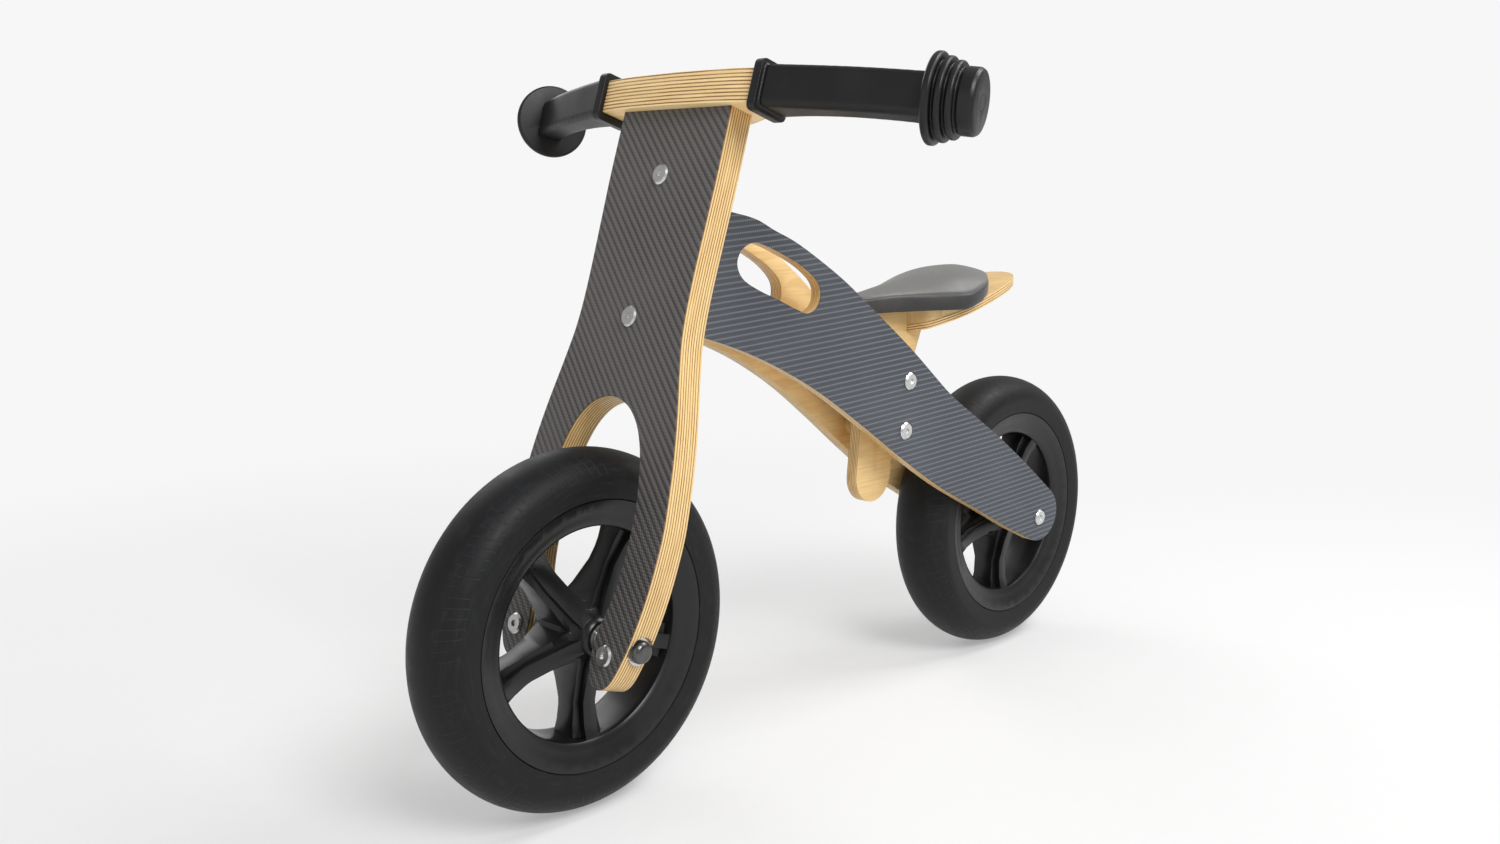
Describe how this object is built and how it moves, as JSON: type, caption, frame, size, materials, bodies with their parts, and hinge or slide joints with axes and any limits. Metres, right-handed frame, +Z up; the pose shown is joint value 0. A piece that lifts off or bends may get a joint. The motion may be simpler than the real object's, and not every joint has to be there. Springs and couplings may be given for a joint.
{
  "type": "balance bike",
  "caption": "Child's wooden balance bike: splayed plywood side panels, a slotted plywood fork plate that steers, small spoked wheels, a curved bar with soft end bumpers, and a sliding saddle.",
  "frame": {"origin": "on the ground, in the bike's middle plane, midway between the two axles", "axes": "+X forward, +Y to the rider's left, +Z up; the bike stands upright on level ground with the steering straight ahead and the saddle at its highest place"},
  "size_m": [0.865, 0.521, 0.585],
  "materials": {
    "birch_ply": "satin lacquered plywood with visible plies",
    "carbon_laminate": "dark woven carbon-look laminate, satin",
    "black_plastic": "moulded black nylon, satin",
    "black_rubber": "matte moulded rubber",
    "tyre_foam": "matte foam rubber with fine moulded sipes",
    "zinc_steel": "bright zinc plate",
    "dark_steel": "black zinc plate",
    "spacer_aluminium": "turned aluminium",
    "pad_cover": "matte charcoal artificial leather"
  },
  "bodies": {
    "frame": {"left_panel": "birch_ply", "left_panel_laminate": "carbon_laminate", "right_panel": "birch_ply", "right_panel_laminate": "carbon_laminate", "head_block": "birch_ply", "head_dowels": "birch_ply", "steering_bushes": "black_plastic", "seat_clamp_bolts": "zinc_steel", "seat_clamp_nuts": "zinc_steel", "seat_clamp_spacers": "birch_ply", "rear_axle": "zinc_steel", "rear_axle_nut": "zinc_steel", "rear_axle_spacers": "spacer_aluminium"},
    "fork": {"fork_plate": "birch_ply", "fork_laminate": "carbon_laminate", "upper_steering_lug": "zinc_steel", "lower_steering_lug": "zinc_steel", "steering_pin": "zinc_steel", "steering_pin_nut": "zinc_steel", "lug_bolts": "zinc_steel", "leg_bolts": "zinc_steel", "stop_buffers": "black_rubber", "handlebar": "birch_ply", "handlebar_screws": "zinc_steel", "left_grip": "black_rubber", "right_grip": "black_rubber", "left_bumper": "black_rubber", "right_bumper": "black_rubber", "bumper_screws": "zinc_steel", "bumper_plugs": "black_rubber", "front_axle": "zinc_steel", "front_axle_caps": "dark_steel", "front_axle_washers": "zinc_steel", "front_axle_spacers": "spacer_aluminium"},
    "front_wheel": {"front_rim": "black_plastic", "front_tyre": "tyre_foam", "front_bearings": "zinc_steel"},
    "rear_wheel": {"rear_rim": "black_plastic", "rear_tyre": "tyre_foam", "rear_bearings": "zinc_steel"},
    "seat": {"seat_post": "birch_ply", "seat_shell": "birch_ply", "seat_wedge": "birch_ply", "seat_base": "black_plastic", "seat_pad": "pad_cover", "seat_base_screws": "zinc_steel", "shell_screws": "zinc_steel"}
  },
  "joints": [
    {"name": "steering", "type": "hinge", "parent": "frame", "child": "fork", "pos_m": [0.16961, 0, 0.42608], "axis": [-0.3007, 0, 0.9537], "range_deg": [-35, 35]},
    {"name": "front_wheel_spin", "type": "hinge", "parent": "fork", "child": "front_wheel", "pos_m": [0.2875, 0, 0.145], "axis": [0, 1, 0], "continuous": true},
    {"name": "rear_wheel_spin", "type": "hinge", "parent": "frame", "child": "rear_wheel", "pos_m": [-0.2875, 0, 0.145], "axis": [0, 1, 0], "continuous": true},
    {"name": "seat_height", "type": "slide", "parent": "frame", "child": "seat", "axis": [-0.1037, 0, 0.9946], "range_m": [-0.03, 0]}
  ]
}
